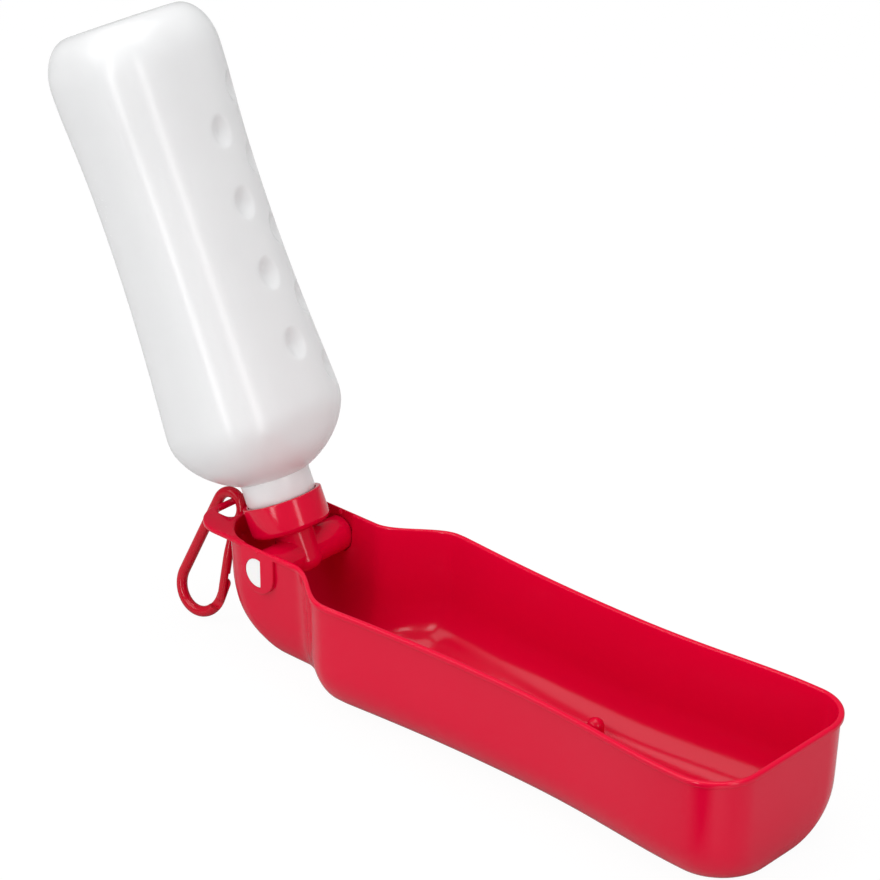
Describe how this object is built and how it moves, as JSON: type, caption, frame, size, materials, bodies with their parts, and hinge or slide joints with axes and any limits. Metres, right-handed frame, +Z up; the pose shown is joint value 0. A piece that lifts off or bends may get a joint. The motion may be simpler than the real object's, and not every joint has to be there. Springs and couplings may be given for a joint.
{
  "type": "dog travel water bottle",
  "caption": "Squeeze water bottle hinged at one end of a long drinking tray, with a valve in the hinge and a hanging clip.",
  "frame": {"origin": "middle of the flat underside of the tray", "axes": "+X from the hinge to the tray's open end, +Y across the tray, +Z up"},
  "size_m": [0.3569, 0.082, 0.2436],
  "materials": {
    "tray": "satin red polypropylene",
    "cap": "satin red polypropylene",
    "clip": "satin red polypropylene",
    "core": "plain white plastic",
    "bottle": "milky soft polyethylene that passes light",
    "washer": "soft white seal",
    "seal": "black rubber"
  },
  "bodies": {
    "tray": {"tray": "tray", "valve_core": "core", "seal_ring_near": "seal", "seal_ring_far": "seal"},
    "cap": {"screw_cap": "cap"},
    "washer": {"cap_washer": "washer"},
    "bottle": {"bottle": "bottle"},
    "clip": {"clip_body": "clip"},
    "gate": {"clip_gate": "clip"}
  },
  "joints": [
    {"name": "bottle_fold", "type": "hinge", "parent": "tray", "child": "cap", "pos_m": [-0.117, 0, 0.0382], "axis": [0, 1, 0], "range_deg": [0, 115]},
    {"name": "screw_lift", "type": "slide", "parent": "cap", "child": "washer", "axis": [-0.4226, 0, 0.9063], "range_m": [0, 0.00423]},
    {"name": "screw_turn", "type": "hinge", "parent": "washer", "child": "bottle", "pos_m": [-0.117, 0, 0.0382], "axis": [-0.4226, 0, 0.9063], "range_deg": [0, 360]},
    {"name": "clip_swing", "type": "hinge", "parent": "tray", "child": "clip", "pos_m": [-0.1539, -0.0035, 0.0475], "axis": [0, 1, 0], "range_deg": [0, 90]},
    {"name": "gate_flex", "type": "hinge", "parent": "clip", "child": "gate", "pos_m": [-0.14954, -0.00485, 0.04084], "axis": [-0.0564, 0.9613, -0.2698], "range_deg": [0, 18], "stiffness_Nm_per_rad": 0.03}
  ],
  "couplings": [
    {"joint": "screw_lift", "follows": "screw_turn", "m_per_rad": 0.000673}
  ]
}
